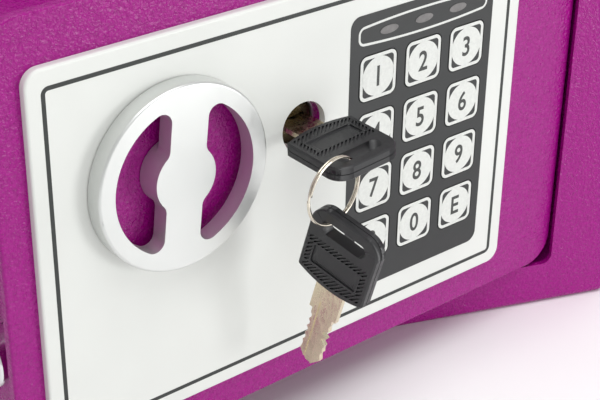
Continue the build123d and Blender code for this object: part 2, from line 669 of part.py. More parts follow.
with BuildPart() as locking_bolts:
    with BuildSketch(side(BOLT_END)):
        with Locations(*[(BOLT_DEPTH, z) for z in BOLT_ZS]):
            Circle(BOLT_R)
    extrude(amount=BOLT_ROOT - BOLT_END)
    fillet(locking_bolts.edges().filter_by(GeomType.CIRCLE).group_by(ACROSS)[0], BOLT_EDGE)
    with BuildSketch(side(BOLT_ROOT)):
        with Locations(*[(BOLT_DEPTH, z) for z in BOLT_ZS]):
            Circle(BOLT_SCREW_R)
    extrude(amount=-BOLT_SCREW_LENGTH, mode=Mode.SUBTRACT)
save(locking_bolts, "locking_bolts")

with BuildPart() as bolt_screws:
    with BuildSketch(side(BOLT_ROOT + CARRIER_THICK)):
        with Locations(*[(BOLT_DEPTH, z) for z in BOLT_ZS]):
            Circle(BOLT_SCREW_HEAD_R)
            RegularPolygon(HEX_SOCKET_R, 6, mode=Mode.SUBTRACT)
    extrude(amount=BOLT_SCREW_HEAD)
    with BuildSketch(side(BOLT_ROOT + CARRIER_THICK)):
        with Locations(*[(BOLT_DEPTH, z) for z in BOLT_ZS]):
            Circle(BOLT_SCREW_HEAD_R)
    extrude(amount=HEX_SOCKET_FLOOR)
    with BuildSketch(side(BOLT_ROOT + CARRIER_THICK)):
        with Locations(*[(BOLT_DEPTH, z) for z in BOLT_ZS]):
            Circle(BOLT_SCREW_R)
    extrude(amount=-(BOLT_SCREW_LENGTH + CARRIER_THICK - SCREW_END_GAP))
save(bolt_screws, "bolt_screws")

guide_shoulder = CARRIER_DEPTH + CARRIER_THICK + SLOT_CLEARANCE
with BuildPart() as guide_screws:
    with BuildSketch(front(-PLATE)):
        with Locations(*[(x, GUIDE_Z) for x in GUIDE_XS]):
            Circle(GUIDE_R)
    extrude(amount=-(guide_shoulder - PLATE))
    with BuildSketch(front(-guide_shoulder)):
        with Locations(*[(x, GUIDE_Z) for x in GUIDE_XS]):
            Circle(GUIDE_HEAD_R)
    extrude(amount=-GUIDE_HEAD)
    with BuildSketch(front(-(guide_shoulder + GUIDE_HEAD))):
        with Locations(*[(x, GUIDE_Z) for x in GUIDE_XS]):
            Rectangle(DRIVER_SLOT_L, DRIVER_SLOT_W)
    extrude(amount=DRIVER_SLOT_DEPTH, mode=Mode.SUBTRACT)
save(guide_screws, "guide_screws")

# ============================ latching solenoid ============================
solenoid_back = COIL_DEPTH + COIL_R + SOLENOID_BACK_GAP
solenoid_h = SOLENOID_ZS[1] - SOLENOID_ZS[0]
solenoid_mid = sum(SOLENOID_ZS) / 2
with BuildPart() as solenoid_frame:
    with BuildSketch(side(SOLENOID_X - SOLENOID_W / 2)):
        with Locations(((PLATE + solenoid_back) / 2, solenoid_mid)):
            Rectangle(solenoid_back - PLATE, solenoid_h)
        with Locations((PLATE + SOLENOID_SHEET, solenoid_mid)):
            Rectangle(
                solenoid_back, solenoid_h - 2 * SOLENOID_SHEET,
                align=(Align.MIN, Align.CENTER), mode=Mode.SUBTRACT,
            )
    extrude(amount=SOLENOID_W)
    with BuildSketch(level(SOLENOID_ZS[0])):
        with Locations((SOLENOID_X, COIL_DEPTH)):
            Circle(PLUNGER_R + PLUNGER_HOLE_GAP)
    extrude(amount=SOLENOID_SHEET, mode=Mode.SUBTRACT)
save(solenoid_frame, "solenoid_frame")

with BuildPart() as solenoid_coil:
    with BuildSketch(level(SOLENOID_ZS[0] + SOLENOID_SHEET)):
        with Locations((SOLENOID_X, COIL_DEPTH)):
            Circle(COIL_R)
            Circle(PLUNGER_R + COIL_BORE_GAP, mode=Mode.SUBTRACT)
    extrude(amount=solenoid_h - 2 * SOLENOID_SHEET)
save(solenoid_coil, "solenoid_coil")

with BuildPart() as solenoid_plunger:
    with BuildSketch(level(PLUNGER_ZS[0])):
        with Locations((SOLENOID_X, COIL_DEPTH)):
            Circle(PLUNGER_R)
    extrude(amount=PLUNGER_ZS[1] - PLUNGER_ZS[0])
    with BuildSketch(level(COLLAR_ZS[0])):
        with Locations((SOLENOID_X, COIL_DEPTH)):
            Circle(COLLAR_R)
    extrude(amount=COLLAR_ZS[1] - COLLAR_ZS[0])
    with BuildSketch(front(-COIL_DEPTH)):
        with Locations((SOLENOID_X, CROSS_PIN_Z)):
            Circle(CROSS_PIN_R)
    extrude(amount=-(CROSS_PIN_END - COIL_DEPTH))
save(solenoid_plunger, "solenoid_plunger")

spring_base = door_point(SOLENOID_X, SPRING_START, -COIL_DEPTH)
with BuildPart() as plunger_spring:
    with BuildLine():
        spring_path = Helix(SPRING_PITCH, SPRING_HEIGHT, SPRING_R, center=spring_base)
    with BuildSketch(Plane(origin=spring_path @ 0, z_dir=spring_path % 0)):
        Circle(SPRING_WIRE_R)
    sweep(is_frenet=True)
save(plunger_spring, "plunger_spring")

# ============================ override lock ============================
with BuildPart() as lock_bracket:
    with BuildSketch(front(-PLATE)):
        with Locations(LOCK_CENTRE):
            RectangleRounded(BRACKET_SIZE, BRACKET_SIZE, BRACKET_R)
            Circle(LOCK_R, mode=Mode.SUBTRACT)
    extrude(amount=-BRACKET_THICK)
save(lock_bracket, "lock_bracket")

with BuildPart() as lock_cylinder:
    with BuildSketch(front(-LOCK_FACE)):
        with Locations(LOCK_CENTRE):
            Circle(LOCK_R)
    extrude(amount=-(LOCK_END - LOCK_FACE))
    chamfer(lock_cylinder.edges().filter_by(GeomType.CIRCLE), LOCK_EDGE)
    with BuildSketch(front(-LOCK_FACE)):
        with Locations(LOCK_CENTRE):
            Circle(PLUG_R + RUNNING_GAP)
    extrude(amount=-(LOCK_END - LOCK_FACE), mode=Mode.SUBTRACT)
save(lock_cylinder, "lock_cylinder")

with BuildPart() as lock_nut:
    with BuildSketch(front(-PLATE - BRACKET_THICK)):
        with Locations(LOCK_CENTRE):
            RegularPolygon(LOCK_NUT_R, 6)
            Circle(LOCK_R, mode=Mode.SUBTRACT)
    extrude(amount=-LOCK_NUT_HEIGHT)
save(lock_nut, "lock_nut")

with BuildPart() as lock_plug:
    with BuildSketch(front(-PLUG_FACE)):
        with Locations(LOCK_CENTRE):
            Circle(PLUG_R)
    extrude(amount=-(CAM_DEPTH - PLUG_FACE))
    with BuildSketch(front(-CAM_DEPTH)):
        with Locations(LOCK_CENTRE):
            Circle(PLUG_TAIL_R)
    extrude(amount=-(PLUG_TAIL_END - CAM_DEPTH))
    with BuildSketch(front(-PLUG_FACE)):
        with Locations(LOCK_CENTRE):
            Rectangle(KEYWAY_W, KEYWAY_H, rotation=KEY_TILT)
    extrude(amount=-(KEYWAY_END - PLUG_FACE), mode=Mode.SUBTRACT)
save(lock_plug, "lock_plug")

with BuildPart() as lock_cam:
    with BuildSketch(front(-CAM_DEPTH)):
        with Locations(LOCK_CENTRE):
            Circle(CAM_EYE_R)
            Rectangle(CAM_W, CAM_LENGTH, align=(Align.CENTER, Align.MAX))
            Circle(PLUG_TAIL_R, mode=Mode.SUBTRACT)
    extrude(amount=-CAM_THICK)
save(lock_cam, "lock_cam")

with BuildPart() as cam_nut:
    with BuildSketch(front(-CAM_DEPTH - CAM_THICK)):
        with Locations(LOCK_CENTRE):
            RegularPolygon(CAM_NUT_R, 6)
            Circle(PLUG_TAIL_R, mode=Mode.SUBTRACT)
    extrude(amount=-CAM_NUT_HEIGHT)
save(cam_nut, "cam_nut")


# ============================ keys and split ring ============================
def key_bow(plane):
    """Moulded bow with its ring slot, a sunk panel on each face and a pocket for the blade's shank."""
    with BuildPart() as bow:
        with BuildSketch(plane) as outline:
            with BuildLine():
                ThreePointArc((-BOW_W / 2, 0), (0, -BOW_BULGE), (BOW_W / 2, 0))
                Polyline((BOW_W / 2, 0), (BOW_W / 2, BOW_L), (-BOW_W / 2, BOW_L), (-BOW_W / 2, 0))
            make_face()
            fillet(outline.vertices().sort_by(Axis.Y)[-2:], BOW_R)
            fillet(outline.vertices().sort_by(Axis.Y)[:2], BOW_NEAR_R)
        extrude(amount=BOW_THICK / 2, both=True)
        rims = bow.faces().filter_by(Axis(plane.origin, plane.z_dir))
        chamfer(rims.edges(), BOW_EDGE)
        with BuildSketch(plane):
            with Locations((0, SLOT_Y)):
                SlotOverall(SLOT_L, SLOT_W)
        extrude(amount=BOW_THICK, both=True, mode=Mode.SUBTRACT)
        for face_side in (1, -1):
            with BuildSketch(plane.offset(face_side * BOW_THICK / 2)):
                with Locations((0, SUNK_Y)):
                    RectangleRounded(SUNK_W, SUNK_L, SUNK_R)
            extrude(amount=-face_side * SUNK_DEPTH, mode=Mode.SUBTRACT)
        with BuildSketch(plane):
            with Locations((0, SHANK_IN)):
                Rectangle(SHANK_W, SHANK_IN + 2 * BOW_BULGE, align=(Align.CENTER, Align.MAX))
        extrude(amount=BLADE_THICK / 2, both=True, mode=Mode.SUBTRACT)
    return bow


def blade_edge(hand):
    """Cut edge of the blade from the shank to the tip, on the side that hand (1 or -1) names."""
    points = [(hand * BLADE_W / 2, -SHANK_OUT)]
    for step, cut in enumerate(TOOTH_CUTS[hand]):
        base = -SHANK_OUT - TOOTH_START - step * TOOTH_PITCH
        points.append((hand * BLADE_W / 2, base))
        points.append((hand * (BLADE_W / 2 - cut), base - CUT_NEAR))
        points.append((hand * (BLADE_W / 2 - cut), base - CUT_FAR))
    points.append((hand * BLADE_W / 2, -BLADE_L + TIP_L))
    points.append((hand * TIP_W / 2, -BLADE_L))
    return points


def key_blade(plane):
    """Flat blade with a wide shank, a double row of shallow cuts and a milled groove on each face."""
    with BuildPart() as blade:
        with BuildSketch(plane):
            with BuildLine():
                Polyline(
                    (SHANK_W / 2, SHANK_IN),
                    (SHANK_W / 2, -SHANK_OUT),
                    *blade_edge(1),
                    *reversed(blade_edge(-1)),
                    (-SHANK_W / 2, -SHANK_OUT),
                    (-SHANK_W / 2, SHANK_IN),
                    close=True,
                )
            make_face()
        extrude(amount=BLADE_THICK / 2, both=True)
        for face_side in (1, -1):
            with BuildSketch(plane.offset(face_side * BLADE_THICK / 2)):
                with Locations((face_side * GROOVE_SHIFT, (GROOVE_START - BLADE_L) / 2)):
                    Rectangle(GROOVE_W, BLADE_L + GROOVE_START)
            extrude(amount=-face_side * GROOVE_DEPTH, mode=Mode.SUBTRACT)
    return blade


# The override key stands in its keyway KEY_TILT from level, its bow BOW_OUT in front of the panel.
key_across = DOOR_RIGHT.rotate(OUTWARD, KEY_TILT)
lock_key_plane = Plane(
    origin=door_point(*LOCK_CENTRE, PANEL_THICK + BOW_OUT),
    x_dir=key_across,
    z_dir=key_across.cross(DOOR_OUT),
)
save(key_bow(lock_key_plane), "lock_key_bow")
save(key_blade(lock_key_plane), "lock_key_blade")

ring_plane = Plane(DOOR_FACE.location * Location(RING_AT, RING_TURN))
with BuildPart() as split_ring:
    with BuildSketch(Plane(origin=ring_plane.origin, x_dir=ring_plane.x_dir, z_dir=-ring_plane.y_dir)):
        with Locations((RING_R, 0)):
            RectangleRounded(RING_RADIAL, RING_AXIAL, RING_EDGE)
    revolve(axis=Axis(ring_plane.origin, ring_plane.z_dir))
save(split_ring, "split_ring")

# The spare key hangs from the ring by one end of its slot, its width square to the door.
square_to_door = Location(SPARE_AT, (0, -90, 0))
spare_key_plane = Plane(DOOR_FACE.location * square_to_door * Location((0, 0, 0), SPARE_LEAN))
save(key_bow(spare_key_plane), "spare_key_bow")
save(key_blade(spare_key_plane), "spare_key_blade")

# ============================ battery tray, lid and reset button ============================
with BuildPart() as battery_tray:
    with BuildSketch(front(-TRAY_FLOOR)):
        with Locations(TRAY_CENTRE):
            Rectangle(TRAY_W, TRAY_H)
    extrude(amount=-(BOX_DEPTH - TRAY_FLOOR))
    with BuildSketch(front(-TRAY_FLOOR - TRAY_WALL)):
        with Locations(TRAY_CENTRE):
            Rectangle(TRAY_W - 2 * TRAY_WALL, TRAY_H - 2 * TRAY_WALL)
    extrude(amount=-BOX_DEPTH, mode=Mode.SUBTRACT)
save(battery_tray, "battery_tray")

cell_sites = [(TRAY_CENTRE[0] + (i - 1.5) * CELL_PITCH, CELL_DEPTH) for i in range(4)]
cell_base = TRAY_CENTRE[1] - CELL_L / 2
with BuildPart() as batteries:
    with BuildSketch(level(cell_base)):
        with Locations(*cell_sites):
            Circle(CELL_R)
    extrude(amount=CELL_L - CELL_TIP)
    with BuildSketch(level(cell_base + CELL_L - CELL_TIP)):
        with Locations(*cell_sites):
            Circle(CELL_TIP_R)
    extrude(amount=CELL_TIP)
save(batteries, "batteries")

inner_half = TRAY_H / 2 - TRAY_WALL
with BuildPart() as battery_contacts:
    for contact_z in (TRAY_CENTRE[1] - inner_half, TRAY_CENTRE[1] + inner_half - CONTACT_THICK):
        with BuildSketch(level(contact_z)):
            with Locations(*cell_sites):
                Rectangle(CONTACT_W, CONTACT_W)
        extrude(amount=CONTACT_THICK)
save(battery_contacts, "battery_contacts")

with BuildPart() as battery_lid:
    with BuildSketch(front(-BOX_DEPTH)):
        with Locations(TRAY_CENTRE):
            Rectangle(TRAY_W, TRAY_H)
    extrude(amount=-COVER)
    with BuildSketch(front(cover_back)):
        with Locations((TRAY_CENTRE[0], TRAY_CENTRE[1] + TRAY_H / 2 - LID_RIDGE_DROP)):
            RectangleRounded(LID_RIDGE_W, LID_RIDGE_H, LID_RIDGE_R)
    extrude(amount=-LID_RIDGE)
save(battery_lid, "battery_lid")

with BuildPart() as reset_button:
    with BuildSketch(front(-RESET_IN)):
        with Locations(RESET_AT):
            Circle(RESET_R)
    extrude(amount=-(RESET_OUT - RESET_IN))
    chamfer(reset_button.edges().sort_by(OUTWARD)[0], RESET_CHAMFER)
    with BuildSketch(front(-RESET_IN)):
        with Locations(RESET_AT):
            Circle(RESET_HEAD_R)
    extrude(amount=-RESET_HEAD)
save(reset_button, "reset_button")


def lead(points, bend):
    """Round lead along straight runs joined by arcs, from points across, up and out from the plate."""
    with BuildPart() as wire:
        with BuildLine():
            run = FilletPolyline(*[door_point(*point) for point in points], radius=bend)
        with BuildSketch(Plane(origin=run @ 0, z_dir=run % 0)):
            Circle(LEAD_R)
        sweep()
    return wire


tray_right = TRAY_CENTRE[0] + TRAY_W / 2
battery_route = [
    (tray_right, 45, -22),
    (-4, 45, -22),
    (6, 52, -14),
    (9.5, 60, PCB_FRONT - PCB_THICK - LEAD_R),
]
save(lead(battery_route, LEAD_BEND), "battery_lead")

solenoid_route = [
    (SOLENOID_X + COIL_R, 150, -COIL_DEPTH),
    (-10, 150, -COIL_DEPTH),
    (8, 146, -9),
    (20, 138, -3.5),
]
save(lead(solenoid_route, LEAD_BEND), "solenoid_lead")
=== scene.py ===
"""Looks of the compact electronic money safe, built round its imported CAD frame.

Lengths below are in millimetres unless a comment says otherwise.
"""

import json
from math import cos, pi, radians, sin, sqrt

import bmesh
import bpy
from mathutils import Matrix, Quaternion, Vector


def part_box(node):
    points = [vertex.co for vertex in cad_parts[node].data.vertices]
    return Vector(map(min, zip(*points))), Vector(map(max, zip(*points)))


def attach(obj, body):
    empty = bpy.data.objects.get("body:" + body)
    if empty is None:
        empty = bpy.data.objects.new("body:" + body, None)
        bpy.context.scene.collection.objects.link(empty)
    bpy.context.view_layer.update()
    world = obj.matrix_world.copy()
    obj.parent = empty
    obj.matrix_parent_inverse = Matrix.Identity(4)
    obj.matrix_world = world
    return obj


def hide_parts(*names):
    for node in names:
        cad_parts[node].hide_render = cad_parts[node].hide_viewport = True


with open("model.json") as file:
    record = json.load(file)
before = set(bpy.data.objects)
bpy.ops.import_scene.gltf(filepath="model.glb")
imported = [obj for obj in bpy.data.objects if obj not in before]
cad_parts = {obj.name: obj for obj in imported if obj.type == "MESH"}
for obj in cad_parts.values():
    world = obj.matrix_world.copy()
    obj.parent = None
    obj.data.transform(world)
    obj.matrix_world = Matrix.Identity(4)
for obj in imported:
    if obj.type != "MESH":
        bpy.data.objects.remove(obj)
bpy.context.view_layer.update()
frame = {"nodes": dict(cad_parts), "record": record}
MM = 0.001

# --- Where things are: the door's own frame is across, up and out from the front of its plate --------------
DOOR_AJAR = radians(20.4)
FRONT_Y = -100
HINGE_X, HINGE_DEPTH = 113, 7.5
PANEL_FRONT, PAD_FRONT, KEY_TOP = 2.7, 2.8, 2.9

RIGHT = Vector((cos(DOOR_AJAR), sin(DOOR_AJAR), 0))
OUT = Vector((sin(DOOR_AJAR), -cos(DOOR_AJAR), 0))
UP = Vector((0, 0, 1))
HINGE = Vector((HINGE_X, FRONT_Y + HINGE_DEPTH, 0))
DOOR_ORIGIN = HINGE - RIGHT * HINGE_X + OUT * HINGE_DEPTH
DOOR = Matrix.Translation(DOOR_ORIGIN) @ Matrix((RIGHT, UP, OUT)).transposed().to_4x4()


def turned(angles):
    """Rotation about a frame's own x, then y, then z, in degrees."""
    rx, ry, rz = (radians(a) for a in angles)
    return Matrix.Rotation(rx, 4, "X") @ Matrix.Rotation(ry, 4, "Y") @ Matrix.Rotation(rz, 4, "Z")


LOCK_CENTRE = (-10.9, 118.6)
BOW_OUT, KEY_TILT = 7.7, 4.4
KEYHOLE = DOOR @ Matrix.Translation((*LOCK_CENTRE, PANEL_FRONT + BOW_OUT))
LOCK_KEY = KEYHOLE @ turned((0, 0, KEY_TILT)) @ turned((90, 0, 0))
RING = DOOR @ Matrix.Translation((-22.8, 111.6, 31.8)) @ turned((1.0, 7.9, 0))
SPARE_KEY = DOOR @ Matrix.Translation((-23.3, 79.6, 33.4)) @ turned((0, -90, 0)) @ turned((0.1, 11.3, -15.4))


# --- Shader helpers ----------------------------------------------------------------------------------------
class Shader:
    """One procedural material: a Principled shader with its detail made from textures in object space."""

    def __init__(self, name, roughness=0.5, metallic=0.0, **constants):
        self.material = bpy.data.materials.new(name)
        self.material.use_nodes = True
        self.tree = self.material.node_tree
        self.base = self.tree.nodes["Principled BSDF"]
        self.base.inputs["Roughness"].default_value = roughness
        self.base.inputs["Metallic"].default_value = metallic
        for socket, value in constants.items():
            self.base.inputs[socket.replace("_", " ")].default_value = value
        self.place = self.tree.nodes.new("ShaderNodeTexCoord").outputs["Object"]
        self.normal = None

    def link(self, a, b):
        self.tree.links.new(a, b)

    def stretched(self, scale):
        """Object coordinates, scaled on each axis."""
        mapping = self.tree.nodes.new("ShaderNodeMapping")
        mapping.inputs["Scale"].default_value = scale
        self.link(self.place, mapping.inputs["Vector"])
        return mapping.outputs["Vector"]

    def noise(self, size, detail=2.0, roughness=0.5, stretch=None, distortion=0.0):
        """Noise whose features are about size millimetres across."""
        node = self.tree.nodes.new("ShaderNodeTexNoise")
        node.inputs["Scale"].default_value = 1 / (size * MM)
        node.inputs["Detail"].default_value = detail
        node.inputs["Roughness"].default_value = roughness
        node.inputs["Distortion"].default_value = distortion
        self.link(self.stretched(stretch) if stretch else self.place, node.inputs["Vector"])
        return node.outputs["Fac"]

    def cells(self, size, feature="F1"):
        """Distance to the nearest of scattered points about size millimetres apart."""
        node = self.tree.nodes.new("ShaderNodeTexVoronoi")
        node.feature = feature
        node.inputs["Scale"].default_value = 1 / (size * MM)
        self.link(self.place, node.inputs["Vector"])
        return node.outputs["Distance"]

    def remap(self, value, low, high, to_low=0.0, to_high=1.0):
        node = self.tree.nodes.new("ShaderNodeMapRange")
        for socket, number in zip(("From Min", "From Max", "To Min", "To Max"), (low, high, to_low, to_high)):
            node.inputs[socket].default_value = number
        self.link(value, node.inputs["Value"])
        return node.outputs["Result"]

    def colour(self, value, *stops):
        """Base colour from (position, colour) stops along value."""
        ramp = self.tree.nodes.new("ShaderNodeValToRGB")
        ramp.color_ramp.elements[0].position = stops[0][0]
        ramp.color_ramp.elements[0].color = (*stops[0][1], 1)
        ramp.color_ramp.elements[1].position = stops[-1][0]
        ramp.color_ramp.elements[1].color = (*stops[-1][1], 1)
        for position, colour in stops[1:-1]:
            ramp.color_ramp.elements.new(position).color = (*colour, 1)
        self.link(value, ramp.inputs["Fac"])
        self.link(ramp.outputs["Color"], self.base.inputs["Base Color"])
        return self

    def rough(self, value, low, high):
        """Roughness that goes from low to high as value goes from 0.3 to 0.7."""
        self.link(self.remap(value, 0.3, 0.7, low, high), self.base.inputs["Roughness"])
        return self

    def bump(self, value, height, strength=1.0):
        """Relief of height millimetres, on top of any relief added before."""
        node = self.tree.nodes.new("ShaderNodeBump")
        node.inputs["Distance"].default_value = height * MM
        node.inputs["Strength"].default_value = strength
        self.link(value, node.inputs["Height"])
        if self.normal:
            self.link(self.normal, node.inputs["Normal"])
        self.normal = node.outputs["Normal"]
        self.link(self.normal, self.base.inputs["Normal"])
        return self


def shade(colour, factor):
    return tuple(min(1.0, c * factor) for c in colour)


def powder_coat():
    """Magenta paint with the leathery relief of a textured powder coat."""
    s = Shader("powder_coat", roughness=0.24, Specular_IOR_Level=0.3)
    magenta = (0.31, 0.002, 0.2)
    s.colour(s.noise(1.3, 3), (0.3, shade(magenta, 0.86)), (0.5, magenta), (0.72, shade(magenta, 1.12)))
    s.rough(s.noise(1.0, 2), 0.2, 0.32)
    s.bump(s.noise(1.2, 1.5, 0.45, distortion=0.8), 0.5, 0.9)
    return s.bump(s.noise(0.4, 1.0), 0.06, 0.4).material


def satin_plastic(name, colour, grain=0.35, roughness=0.36, relief=0.012):
    """Moulded plastic with a fine spark-eroded grain and faint flow marks."""
    s = Shader(name, roughness=roughness, Specular_IOR_Level=0.5)
    s.colour(s.noise(38, 2), (0.3, shade(colour, 0.965)), (0.7, shade(colour, 1.02)))
    s.rough(s.noise(6, 3), roughness - 0.05, roughness + 0.06)
    return s.bump(s.noise(grain, 2, 0.6), relief, 0.5).material


def silver_plastic():
    """Moulded plastic sprayed with pale silver lacquer, which darkens where it turns from the light."""
    s = Shader("knob_silver", roughness=0.36, metallic=0.82, Specular_IOR_Level=0.5)
    s.colour(s.noise(30, 2), (0.3, (0.67, 0.685, 0.67)), (0.7, (0.71, 0.725, 0.71)))
    s.rough(s.noise(5, 3), 0.33, 0.41)
    return s.bump(s.noise(0.28, 2, 0.6), 0.012, 0.5).material


def screen_print(name, colour):
    """Matt ink with slight unevenness from the mesh it is printed through."""
    s = Shader(name, roughness=0.5, Specular_IOR_Level=0.4)
    s.colour(s.noise(1.1, 3, 0.65), (0.25, shade(colour, 0.9)), (0.7, shade(colour, 1.03)))
    s.rough(s.noise(0.7, 2), 0.44, 0.58)
    return s.bump(s.noise(0.25, 1), 0.006, 0.5).material


def moulded_black():
    """Black nylon of the key bows and small mouldings, a little scuffed."""
    colour = (0.016, 0.016, 0.018)
    s = Shader("moulded_black", roughness=0.42, Specular_IOR_Level=0.55)
    s.colour(s.noise(3.2, 4, 0.7), (0.3, shade(colour, 0.75)), (0.62, colour), (0.82, shade(colour, 1.9)))
    s.rough(s.noise(1.6, 4, 0.7), 0.3, 0.52)
    return s.bump(s.noise(0.3, 2, 0.6), 0.02, 0.45).material


def brushed(name, colour, roughness=0.3, stretch=(1, 1, 14), scratch=1.6, relief=0.01, tarnish=0.8):
    """Metal with fine lines along one axis and cloudy tarnish."""
    s = Shader(name, roughness=roughness, metallic=1.0)
    s.colour(s.noise(5, 4, 0.6), (0.3, shade(colour, tarnish)), (0.66, colour))
    s.rough(s.noise(scratch, 3, 0.7, stretch), roughness - 0.08, roughness + 0.12)
    return s.bump(s.noise(scratch * 0.5, 3, 0.7, stretch), relief, 0.5).material


def zinc_plate():
    """Passivated zinc with its faint straw and blue bloom."""
    s = Shader("zinc_plate", roughness=0.34, metallic=1.0)
    blue, grey, straw = (0.56, 0.57, 0.60), (0.66, 0.66, 0.64), (0.70, 0.66, 0.55)
    s.colour(s.noise(9, 3, 0.6), (0.3, blue), (0.5, grey), (0.7, straw))
    s.rough(s.noise(2.5, 3), 0.26, 0.42)
    return s.bump(s.noise(0.8, 2), 0.012, 0.4).material


def carpet_pile():
    """Dark needle-felt carpet."""
    s = Shader("carpet_pile", roughness=0.95, Sheen_Weight=0.3, Sheen_Roughness=0.6)
    root, pile, tip = (0.012, 0.012, 0.014), (0.035, 0.035, 0.04), (0.1, 0.1, 0.11)
    s.colour(s.noise(0.8, 4, 0.75), (0.3, root), (0.55, pile), (0.8, tip))
    return s.bump(s.noise(0.6, 3, 0.8), 0.5, 0.9).material


def circuit_board():
    """Green solder mask with a pattern of copper tracks under it."""
    s = Shader("circuit_board", roughness=0.32, Coat_Weight=0.3, Coat_Roughness=0.15)
    board, mask, track = (0.012, 0.11, 0.035), (0.02, 0.2, 0.06), (0.03, 0.26, 0.09)
    s.colour(s.cells(2.4, "F2"), (0.35, board), (0.55, mask), (0.8, track))
    return s.bump(s.cells(2.4, "F2"), 0.05, 0.5).material


def lens():
    """Grey diffusing windows over the lamps."""
    s = Shader("lamp_window", roughness=0.3, Specular_IOR_Level=0.5)
    s.colour(s.noise(2.0, 2), (0.3, (0.135, 0.13, 0.128)), (0.7, (0.18, 0.173, 0.17)))
    return s.bump(s.noise(0.5, 1), 0.01, 0.4).material


def rubber(name, colour):
    """Soft rubber or PVC with a dull bloom."""
    s = Shader(name, roughness=0.6, Specular_IOR_Level=0.35)
    s.colour(s.noise(2.6, 3), (0.3, shade(colour, 0.85)), (0.7, shade(colour, 1.1)))
    s.rough(s.noise(1.5, 2), 0.5, 0.7)
    return s.bump(s.noise(0.4, 2), 0.02, 0.4).material


def wound_copper():
    """Enamelled wire laid in turns round the coil."""
    s = Shader("wound_copper", roughness=0.3, metallic=1.0)
    s.colour(s.noise(3, 2, stretch=(1, 1, 6)), (0.35, (0.42, 0.13, 0.05)), (0.65, (0.66, 0.27, 0.13)))
    return s.bump(s.noise(0.5, 1, stretch=(0.1, 0.1, 1)), 0.1, 0.8).material


SLOT_MATERIALS = {
    "body_paint": powder_coat(),
    "zinc_steel": zinc_plate(),
    "chrome": brushed("polished_chrome", (0.82, 0.82, 0.83), 0.13, (1, 1, 1), 3, 0.004, 0.93),
    "carpet": carpet_pile(),
    "panel_plastic": satin_plastic("panel_plastic", (0.72, 0.735, 0.705)),
    "knob_plastic": silver_plastic(),
    "overlay_black": satin_plastic("overlay_film", (0.016, 0.018, 0.018), 0.22, 0.4, 0.02),
    "key_face": satin_plastic("key_film", (0.016, 0.018, 0.018), 0.22, 0.4, 0.02),
    "led_lens": lens(),
    "silicone": rubber("silicone", (0.36, 0.37, 0.38)),
    "pcb_green": circuit_board(),
    "black_plastic": moulded_black(),
    "red_plastic": satin_plastic("red_plastic", (0.5, 0.02, 0.02)),
    "brass": brushed("satin_brass", (0.78, 0.57, 0.26), 0.28, (1, 1, 1), 1.2, 0.01, 0.7),
    "nickel": brushed("key_nickel", (0.74, 0.66, 0.48), 0.26, (1, 1, 0.3), 1.4, 0.002, 0.88),
    "copper": wound_copper(),
    "battery": satin_plastic("battery_sleeve", (0.06, 0.065, 0.07), 0.3, 0.25),
    "spring_steel": brushed("ring_steel", (0.86, 0.80, 0.68), 0.1, (1, 1, 1), 1.5, 0.004, 0.62),
    "lead_sleeve": rubber("lead_sleeve", (0.3, 0.015, 0.015)),
}
# The lock cylinder and plug faces are brass painted almost black: painted shade that stands for the dark deep
# inside the keyhole.
NODE_MATERIALS = {
    "lock_cylinder": brushed("lock_face_painted_shade", (0.075, 0.058, 0.034), 0.3, (1, 1, 1), 1.2, 0.01, 0.6),
    "lock_plug": brushed("plug_face_painted_shade", (0.13, 0.1, 0.055), 0.26, (1, 1, 1), 0.8, 0.01, 0.6),
}
slot_of = {part["node"]: part["material_slot"] for part in frame["record"]["subparts"]}
for node_name, node in frame["nodes"].items():
    node.data.materials.clear()
    node.data.materials.append(NODE_MATERIALS.get(node_name, SLOT_MATERIALS[slot_of[node_name]]))


# --- Mesh helpers ------------------------------------------------------------------------------------------
def add_object(name, data, place, material, body):
    """Puts data, made in millimetres in the frame that place gives, into the scene on a body."""
    obj = bpy.data.objects.new(name, data)
    bpy.context.collection.objects.link(obj)
    data.transform(Matrix.Scale(MM, 4) @ place)
    if material:
        data.materials.append(material)
    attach(obj, body)
    return obj


def rounded_rectangle(width, height, radius, centre=(0, 0), steps=8):
    """Closed outline of a rounded rectangle, anticlockwise."""
    points = []
    for corner in range(4):
        cx = centre[0] + (1, -1, -1, 1)[corner] * (width / 2 - radius)
        cy = centre[1] + (1, 1, -1, -1)[corner] * (height / 2 - radius)
        for step in range(steps + 1):
            a = pi / 2 * (corner + step / steps)
            points.append((cx + radius * cos(a), cy + radius * sin(a)))
    return points


def circle(radius, steps=64):
    """Closed outline of a circle about the origin, anticlockwise."""
    angles = [2 * pi * i / steps for i in range(steps)]
    return [(radius * cos(a), radius * sin(a)) for a in angles]


def prism(bm, outline, low, high):
    """Solid prism on a closed outline between two heights."""
    bottom = [bm.verts.new((x, y, low)) for x, y in outline]
    top = [bm.verts.new((x, y, high)) for x, y in outline]
    bm.faces.new(bottom[::-1])
    bm.faces.new(top)
    for i in range(len(outline)):
        j = (i + 1) % len(outline)
        bm.faces.new((bottom[i], bottom[j], top[j], top[i]))


def band(bm, outer, inner, low, high):
    """Solid ring between two outlines with the same number of points."""
    corners = ((outer, low), (outer, high), (inner, high), (inner, low))
    rings = [[bm.verts.new((x, y, z)) for x, y in line] for line, z in corners]
    for k in range(4):
        a, b = rings[k], rings[(k + 1) % 4]
        for i in range(len(outer)):
            j = (i + 1) % len(outer)
            bm.faces.new((a[i], a[j], b[j], b[i]))


def mesh_from(name, build):
    """Mesh made by build(bm)."""
    bm = bmesh.new()
    build(bm)
    bmesh.ops.recalc_face_normals(bm, faces=bm.faces)
    mesh = bpy.data.meshes.new(name)
    bm.to_mesh(mesh)
    bm.free()
    return mesh


def soft_edges(obj, width):
    """Small rounded edges, so that they catch the light."""
    bevel = obj.modifiers.new("soft_edges", "BEVEL")
    bevel.width = width * MM
    bevel.segments = 2
    bevel.limit_method = "ANGLE"
    bevel.angle_limit = radians(35)


